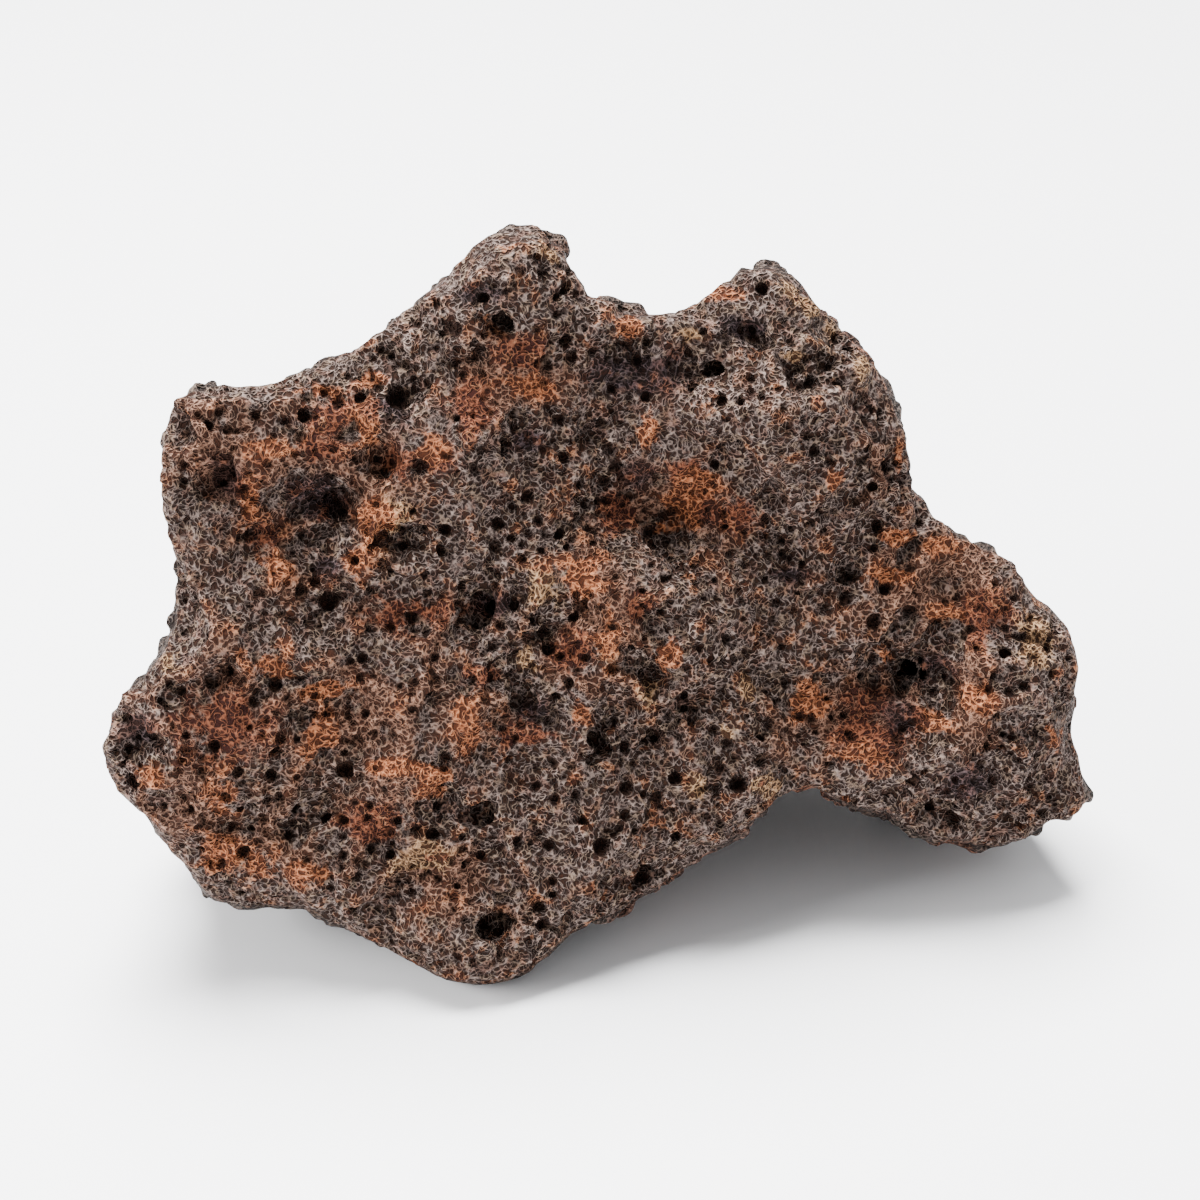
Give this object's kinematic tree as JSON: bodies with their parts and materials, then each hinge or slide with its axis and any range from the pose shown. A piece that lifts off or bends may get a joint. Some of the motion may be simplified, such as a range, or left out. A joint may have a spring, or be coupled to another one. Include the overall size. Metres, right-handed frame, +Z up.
{
  "type": "impactite",
  "caption": "Loose piece of frothy impact-melt rock with two blunt peaks, a low lobe at the right and a leaning bubbly face. It stands on three worn knobs.",
  "frame": {"origin": "on the surface that the stone stands on, below the middle of its box", "axes": "+Z up; +X right along the broken face, the stone's longest way; +Y away from the face, which looks towards -Y; the shortest way is +Y"},
  "size_m": [0.0614, 0.0328, 0.0447],
  "materials": {
    "melt_rock": "matt grey-brown froth of open bubbles, stained rust and tan in patches"
  },
  "bodies": {
    "root": {"impactite_stone": "melt_rock"}
  },
  "joints": []
}
